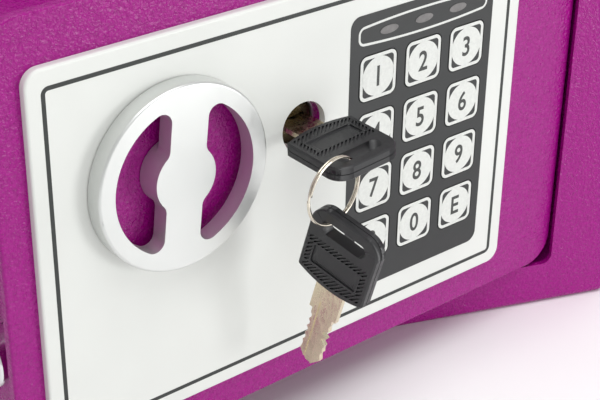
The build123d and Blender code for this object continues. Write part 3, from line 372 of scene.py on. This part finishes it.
# --- Panel printing: the ink is a thin solid layer, INK above and below the face it is printed on ----------
ink_black = screen_print("ink_black", (0.03, 0.034, 0.032))
ink_white = screen_print("ink_white", (0.70, 0.715, 0.685))
ink_digit = screen_print("ink_digit", (0.05, 0.053, 0.05))
INK = 0.03

BORDER_LEFT, BORDER_RIGHT, BORDER_LOW, BORDER_HIGH = -104.9, 82.0, 37.9, 158.6
BORDER_W, BORDER_R = 1.4, 2.5


def panel_border(bm):
    width, height = BORDER_RIGHT - BORDER_LEFT, BORDER_HIGH - BORDER_LOW
    centre = ((BORDER_LEFT + BORDER_RIGHT) / 2, (BORDER_LOW + BORDER_HIGH) / 2)
    outer = rounded_rectangle(width, height, BORDER_R, centre)
    inner = rounded_rectangle(width - 2 * BORDER_W, height - 2 * BORDER_W, BORDER_R - BORDER_W, centre)
    band(bm, outer, inner, PANEL_FRONT - INK, PANEL_FRONT + INK)


border = add_object("panel_border", mesh_from("panel_border", panel_border), DOOR, ink_black, "door")

# --- Keypad printing: an outline, a disc and a character on each key ---------------------------------------
KEY_PITCH_X, KEY_PITCH_Z = 20.4, 20.9
KEY_GRID_CENTRE = (40.9, 96.75)
KEY_ROWS = ("123", "456", "789", "b0e")
OUTLINE_W, OUTLINE_H, OUTLINE_R, OUTLINE_LINE = 15.8, 16.1, 2.6, 1.2
DISC_R = 7.0
DIGIT_HEIGHT, DIGIT_WIDEN, DIGIT_WEIGHT = 7.3, 0.86, 0.12


def key_print(bm):
    outer = rounded_rectangle(OUTLINE_W, OUTLINE_H, OUTLINE_R)
    inner_w, inner_h = OUTLINE_W - 2 * OUTLINE_LINE, OUTLINE_H - 2 * OUTLINE_LINE
    inner = rounded_rectangle(inner_w, inner_h, OUTLINE_R - OUTLINE_LINE)
    band(bm, outer, inner, -INK, INK)
    prism(bm, circle(DISC_R), -INK, INK)


def digit_curve(character):
    """The character as a flat solid, centred, DIGIT_HEIGHT tall."""
    text = bpy.data.curves.new("digit_" + character, "FONT")
    text.body = character.upper()
    text.align_x = "CENTER"
    text.extrude = INK / DIGIT_HEIGHT
    text.offset = DIGIT_WEIGHT / DIGIT_HEIGHT
    holder = bpy.data.objects.new("digit_holder", text)
    bpy.context.collection.objects.link(holder)
    bpy.context.view_layer.update()
    mesh = bpy.data.meshes.new_from_object(holder.evaluated_get(bpy.context.evaluated_depsgraph_get()))
    bpy.data.objects.remove(holder)
    xs = [v.co.x for v in mesh.vertices]
    ys = [v.co.y for v in mesh.vertices]
    scale = DIGIT_HEIGHT / (max(ys) - min(ys))
    centre = Vector(((max(xs) + min(xs)) / 2, (max(ys) + min(ys)) / 2, 0))
    sized = Matrix.Diagonal((scale * DIGIT_WIDEN, scale, DIGIT_HEIGHT, 1))
    mesh.transform(sized @ Matrix.Translation(-centre))
    return mesh


for row, characters in enumerate(KEY_ROWS):
    for column, character in enumerate(characters):
        key_x = KEY_GRID_CENTRE[0] + (column - 1) * KEY_PITCH_X
        key_z = KEY_GRID_CENTRE[1] + (1.5 - row) * KEY_PITCH_Z
        at_key = DOOR @ Matrix.Translation((key_x, key_z, KEY_TOP))
        body = "button_" + character
        print_name, digit_name = "print_" + character, "digit_" + character
        print_piece = add_object(print_name, mesh_from(print_name, key_print), at_key, ink_white, body)
        on_disc = at_key @ Matrix.Translation((0, 0, INK))
        digit_piece = add_object(digit_name, digit_curve(character), on_disc, ink_digit, body)

# --- Lamp window outline above the keys --------------------------------------------------------------------
LAMP_CENTRE = (40.8, 143.6)
LAMP_HALF_W, LAMP_HALF_END, LAMP_HALF_MID, LAMP_LINE, LAMP_R = 29.4, 3.2, 4.5, 0.8, 2.4


def bulged_capsule(inset):
    """Outline with rounded ends whose long sides bow outwards."""
    half_w, half_end, half_mid = LAMP_HALF_W - inset, LAMP_HALF_END - inset, LAMP_HALF_MID - inset
    points = rounded_rectangle(2 * half_w, 2 * half_end, LAMP_R - inset, steps=10)
    dense = []
    for i, (x, y) in enumerate(points):
        nx, ny = points[(i + 1) % len(points)]
        count = 24 if abs(nx - x) > half_w else 1
        for k in range(count):
            dense.append((x + (nx - x) * k / count, y + (ny - y) * k / count))
    bulge = half_mid / half_end - 1
    bowed = [(x, y * (1 + bulge * (1 - (x / half_w) ** 2))) for x, y in dense]
    return [(LAMP_CENTRE[0] + x, LAMP_CENTRE[1] + y) for x, y in bowed]


def lamp_outline(bm):
    band(bm, bulged_capsule(0), bulged_capsule(LAMP_LINE), PAD_FRONT - INK, PAD_FRONT + INK)


lamp_print = add_object("lamp_outline", mesh_from("lamp_outline", lamp_outline), DOOR, ink_white, "door")

# --- Key bows: the moulded shapes of the CAD bows with ribs, sloped panels and a mould line cut in ---------
BOW_W, BOW_L, BOW_THICK, BOW_BULGE, BOW_R = 26.6, 25.1, 4.9, 2.4, 6
RIB_STEP, RIB_W, RIB_DEPTH = 1.15, 0.62, 0.55
BAND_IN_X, BAND_OUT_X, BAND_EDGE, BAND_GAP = 9.7, 11.7, 1.5, 0.2
BAND_LOW, BAND_MID, BAND_HIGH = 3.2, 11.5, 13.9
FLOOR_HALF_W, FLOOR_LOW, FLOOR_HIGH, FLOOR_DEPTH = 7.6, 4.7, 10.2, 0.7
MOUTH_HALF_W, MOUTH_LOW = 9.1, 4.1
MOULD_LINE_W, MOULD_LINE_DEPTH = 0.3, 0.2
BOW_SOFT_EDGE = 0.12
CUT_REACH = 1.0


def bow_edge(x):
    """Height of the bow's bulged edge, at the blade, above the ends of that edge."""
    return -BOW_BULGE * (1 - (x / (BOW_W / 2)) ** 2)


def bow_outline(inset):
    """Outline of the bow, with its bulged edge at the blade, inset mm inside it."""
    half, top, radius = BOW_W / 2 - inset, BOW_L - inset, BOW_R - inset
    points = []
    for quarter in (0, 1):
        cx = (1, -1)[quarter] * (half - radius)
        for step in range(9):
            a = pi / 2 * (quarter + step / 8)
            points.append((cx + radius * cos(a), top - radius + radius * sin(a)))
    for step in range(21):
        x = half * (step / 10 - 1)
        points.append((x, bow_edge(x) + inset))
    return points


def clipped(outline, keep):
    """The part of a convex outline on the side of a line where keep((x, y)) is positive."""
    points = []
    for a, b in zip(outline, outline[1:] + outline[:1]):
        ka, kb = keep(a), keep(b)
        if ka > 0:
            points.append(a)
        if ka * kb < 0:
            t = ka / (ka - kb)
            points.append((a[0] + (b[0] - a[0]) * t, a[1] + (b[1] - a[1]) * t))
    return points


def outline_area(points):
    """Area inside a closed outline."""
    return abs(sum(a[0] * b[1] - b[0] * a[1] for a, b in zip(points, points[1:] + points[:1]))) / 2


def rib_grooves(hand):
    """Diagonal grooves that fill the band round the sunk panel, as outlines, on the face that hand names."""
    lowest = bow_edge(0) + BAND_EDGE
    rise = (bow_edge(BAND_OUT_X) - bow_edge(0)) / BAND_OUT_X
    side_low, side_high = BAND_LOW + BAND_GAP, BAND_MID - BAND_GAP
    fields = (
        (-BAND_OUT_X, BAND_OUT_X, BAND_MID, BAND_HIGH),
        (-BAND_OUT_X, BAND_OUT_X, lowest, BAND_LOW),
        (-BAND_OUT_X, -BAND_IN_X, side_low, side_high),
        (BAND_IN_X, BAND_OUT_X, side_low, side_high),
    )
    count = int((BAND_OUT_X + BAND_HIGH) / RIB_STEP)
    for x0, x1, y0, y1 in fields:
        for i in range(-count, count + 1):
            low, high = i * RIB_STEP - RIB_W / 2, i * RIB_STEP + RIB_W / 2
            groove = [(x0, y0), (x1, y0), (x1, y1), (x0, y1)]
            groove = clipped(groove, lambda p: (p[1] - hand * p[0]) / sqrt(2) - low)
            groove = clipped(groove, lambda p: high - (p[1] - hand * p[0]) / sqrt(2))
            groove = clipped(groove, lambda p: p[1] - lowest - rise * p[0])
            groove = clipped(groove, lambda p: p[1] - lowest + rise * p[0])
            if len(groove) > 2 and outline_area(groove) > RIB_W:
                yield groove


def frustum(bm, low, high):
    """Sloped-sided pocket: low and high are (half width, y low, y high, z)."""
    rings = []
    for half, y0, y1, z in (low, high):
        rings.append([bm.verts.new((x, y, z)) for x, y in ((-half, y0), (half, y0), (half, y1), (-half, y1))])
    bm.faces.new(rings[0][::-1])
    bm.faces.new(rings[1])
    for i in range(4):
        j = (i + 1) % 4
        bm.faces.new((rings[0][i], rings[0][j], rings[1][j], rings[1][i]))


def bow_cutter(bm):
    """What is cut from a bow: ribs and a sloped panel on each face, and the mould line round it."""
    for face in (-1, 1):
        base, over = face * (BOW_THICK / 2 - RIB_DEPTH), face * (BOW_THICK / 2 + CUT_REACH)
        for groove in rib_grooves(face):
            prism(bm, groove, min(base, over), max(base, over))
        grow = (MOUTH_HALF_W - FLOOR_HALF_W) / FLOOR_DEPTH, (FLOOR_LOW - MOUTH_LOW) / FLOOR_DEPTH
        out_x, out_y = grow[0] * (FLOOR_DEPTH + CUT_REACH), grow[1] * (FLOOR_DEPTH + CUT_REACH)
        pocket = (FLOOR_HALF_W, FLOOR_LOW, FLOOR_HIGH, face * (BOW_THICK / 2 - FLOOR_DEPTH))
        mouth = (FLOOR_HALF_W + out_x, FLOOR_LOW - out_y, FLOOR_HIGH + out_y, over)
        frustum(bm, pocket, mouth)
    band(bm, bow_outline(-1), bow_outline(MOULD_LINE_DEPTH), -MOULD_LINE_W / 2, MOULD_LINE_W / 2)


def detailed_bow(name, node_name, place, body):
    """A key bow cut from a copy of its CAD solid."""
    obj = bpy.data.objects.new(name, frame["nodes"][node_name].data.copy())
    bpy.context.collection.objects.link(obj)
    obj.data.materials.clear()
    obj.data.materials.append(SLOT_MATERIALS["black_plastic"])
    cutter = bpy.data.objects.new(name + "_cutter", mesh_from(name + "_cutter", bow_cutter))
    bpy.context.collection.objects.link(cutter)
    cutter.data.transform(Matrix.Scale(MM, 4) @ place)
    weld = obj.modifiers.new("weld", "WELD")
    weld.merge_threshold = 1e-6
    cut = obj.modifiers.new("cut", "BOOLEAN")
    cut.operation, cut.object, cut.solver = "DIFFERENCE", cutter, "EXACT"
    cut.use_self = True
    bpy.context.view_layer.update()
    made = bpy.data.meshes.new_from_object(obj.evaluated_get(bpy.context.evaluated_depsgraph_get()))
    obj.modifiers.clear()
    obj.data = made
    bpy.data.objects.remove(cutter)
    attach(obj, body)
    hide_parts(node_name)
    soft_edges(obj, BOW_SOFT_EDGE)
    return obj


detailed_bow("override_key_bow", "lock_key_bow", LOCK_KEY, "lock_key")
detailed_bow("hanging_key_bow", "spare_key_bow", SPARE_KEY, "spare_key")

# --- Split ring: two turns of flattened wire, with the step where one turn crosses to the other ------------
RING_R = 11.2
WIRE_RADIAL, WIRE_AXIAL, WIRE_ROUND, WIRE_GAP = 0.78, 0.64, 0.26, 0.16
STEP_SWELL = 0.12
STEP_START, STEP_SPAN, STEP_GAP = radians(172), radians(34), radians(4)
RING_STEPS = 180


def ring_coil(bm):
    """Wire swept along two turns; its section is given as (radial, axial)."""
    section = rounded_rectangle(WIRE_RADIAL, WIRE_AXIAL, WIRE_ROUND, steps=3)
    loops = []
    for i in range(RING_STEPS + 1):
        turn = (4 * pi - 2 * STEP_GAP) * i / RING_STEPS
        angle = STEP_START + STEP_GAP + turn
        crossed = min(1.0, max(0.0, (turn - (2 * pi - STEP_SPAN)) / (2 * STEP_SPAN)))
        lift = (crossed * crossed * (3 - 2 * crossed) - 0.5) * (WIRE_AXIAL + WIRE_GAP)
        swell = STEP_SWELL * sin(pi * crossed)
        loop = []
        for radial, axial in section:
            r = RING_R + swell + radial
            loop.append(bm.verts.new((r * cos(angle), r * sin(angle), lift + axial)))
        loops.append(loop)
    for a, b in zip(loops, loops[1:]):
        for i in range(len(a)):
            j = (i + 1) % len(a)
            bm.faces.new((a[i], a[j], b[j], b[i]))
    bm.faces.new(loops[0][::-1])
    bm.faces.new(loops[-1])


ring_mesh = mesh_from("split_ring_wire", ring_coil)
ring = add_object("split_ring_wire", ring_mesh, RING, SLOT_MATERIALS["spring_steel"], "key_ring")
ring.data.shade_smooth()
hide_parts("split_ring")

# --- Carpet in the bottom of the safe ----------------------------------------------------------------------
mat_low, mat_high = (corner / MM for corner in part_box("floor_mat"))
PILE_STEP, MAT_HOLE_R, MAT_HOLE_X, MAT_HOLE_Y = 3.0, 7.0, 75.0, 20.0
PILE_TOP, PILE_RIPPLE, MAT_UNDERSIDE = 0.25, 0.18, 0.3
EDGE_FALL, EDGE_ROLL = 0.5, 2


def carpet(bm):
    """Pile surface with turned-down edges and round holes over the floor anchors."""
    nx = round((mat_high.x - mat_low.x) / PILE_STEP)
    ny = round((mat_high.y - mat_low.y) / PILE_STEP)
    bmesh.ops.create_grid(bm, x_segments=nx, y_segments=ny, size=0.5)
    size = mat_high - mat_low
    for v in bm.verts:
        edge = min(0.5 - abs(v.co.x), 0.5 - abs(v.co.y)) * min(size.x, size.y)
        x, y = mat_low.x + (v.co.x + 0.5) * size.x, mat_low.y + (v.co.y + 0.5) * size.y
        ripple = PILE_RIPPLE * sin(x * 1.7 + 2.1 * sin(y * 0.9)) * cos(y * 1.3 + 1.7 * sin(x * 0.6))
        fall = (size.z - EDGE_FALL) * max(0, 1 - edge / EDGE_ROLL) ** 2
        v.co = Vector((x, y, mat_high.z - PILE_TOP + ripple - fall))
    for hole_x in (-MAT_HOLE_X, MAT_HOLE_X):
        centre = Vector((hole_x, MAT_HOLE_Y, 0))
        inside = [f for f in bm.faces if (f.calc_center_median().xy - centre.xy).length < MAT_HOLE_R]
        bmesh.ops.delete(bm, geom=inside, context="FACES")
        for v in bm.verts:
            offset = v.co.xy - centre.xy
            if v.is_boundary and offset.length < MAT_HOLE_R + PILE_STEP:
                offset = offset.normalized() * MAT_HOLE_R
                v.co = Vector((centre.x + offset.x, centre.y + offset.y, mat_low.z + MAT_UNDERSIDE))


mat_mesh = mesh_from("floor_carpet", carpet)
mat = add_object("floor_carpet", mat_mesh, Matrix(), SLOT_MATERIALS["carpet"], "safe_body")
mat.data.shade_smooth()
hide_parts("floor_mat")

# --- Small rounded edges on the CAD pieces that show -------------------------------------------------------
for node_name, width in (
    ("lock_key_blade", 0.1), ("spare_key_blade", 0.1), ("lock_cylinder", 0.15), ("lock_plug", 0.1),
    ("battery_lid", 0.25), ("knob", 0.3),
):
    soft_edges(frame["nodes"][node_name], width)

# --- Floor, light and camera -------------------------------------------------------------------------------
def soft_light(name, place, target, size, power):
    """Square area light aimed at a point, in metres."""
    data = bpy.data.lights.new(name, "AREA")
    data.size, data.energy = size, power
    light = bpy.data.objects.new(name, data)
    bpy.context.collection.objects.link(light)
    light.location = place
    light.rotation_mode = "QUATERNION"
    light.rotation_quaternion = (Vector(target) - Vector(place)).to_track_quat("-Z", "Y")


floor_shader = Shader("floor", roughness=0.65)
floor_shader.colour(floor_shader.noise(400, 2), (0.3, (0.95, 0.95, 0.95)), (0.7, (0.98, 0.98, 0.98)))
floor_mesh = bpy.data.meshes.new("floor")
REACH = 6.0  # metres
floor_corners = [(-REACH, -REACH, 0), (REACH, -REACH, 0), (REACH, REACH, 0), (-REACH, REACH, 0)]
floor_mesh.from_pydata(floor_corners, [], [(0, 1, 2, 3)])
floor_mesh.materials.append(floor_shader.material)
floor = bpy.data.objects.new("floor", floor_mesh)
bpy.context.collection.objects.link(floor)

world = bpy.data.worlds.new("studio")
bpy.context.scene.world = world
world.use_nodes = True
world.node_tree.nodes["Background"].inputs["Color"].default_value = (1, 1, 1, 1)
world.node_tree.nodes["Background"].inputs["Strength"].default_value = 0.62

# Lamp places and sizes are in metres and powers in watts
door_middle = DOOR @ Vector((0, 90, 0)) * MM
KEY_PLACE = door_middle + RIGHT * 0.42 + OUT * 0.75 + UP * 0.02
TOP_PLACE, TOP_TARGET = (0.1, -0.45, 1.3), (0, -0.1, 0)
soft_light("key_light", KEY_PLACE, door_middle, size=0.3, power=2.6)
soft_light("top_light", TOP_PLACE, TOP_TARGET, size=1.0, power=9.5)

LENS, SENSOR = 89.2, 36.0
VIEW_AIM = (-12.08, 92.16, PANEL_FRONT)
VIEW_TURN, VIEW_RISE, VIEW_ROLL, VIEW_DISTANCE = radians(39.67), radians(28.92), radians(0.83), 490
back = OUT * cos(VIEW_TURN) * cos(VIEW_RISE) - RIGHT * sin(VIEW_TURN) * cos(VIEW_RISE) + UP * sin(VIEW_RISE)
camera_data = bpy.data.cameras.new("camera")
camera_data.lens, camera_data.sensor_width = LENS, SENSOR
camera_data.clip_start = 0.01
camera = bpy.data.objects.new("camera", camera_data)
bpy.context.collection.objects.link(camera)
camera.location = (DOOR @ Vector(VIEW_AIM) + back * VIEW_DISTANCE) * MM
camera.rotation_mode = "QUATERNION"
camera.rotation_quaternion = (-back).to_track_quat("-Z", "Y") @ Quaternion((0, 0, 1), VIEW_ROLL)
bpy.context.scene.camera = camera
bpy.context.scene.view_settings.view_transform = "Standard"
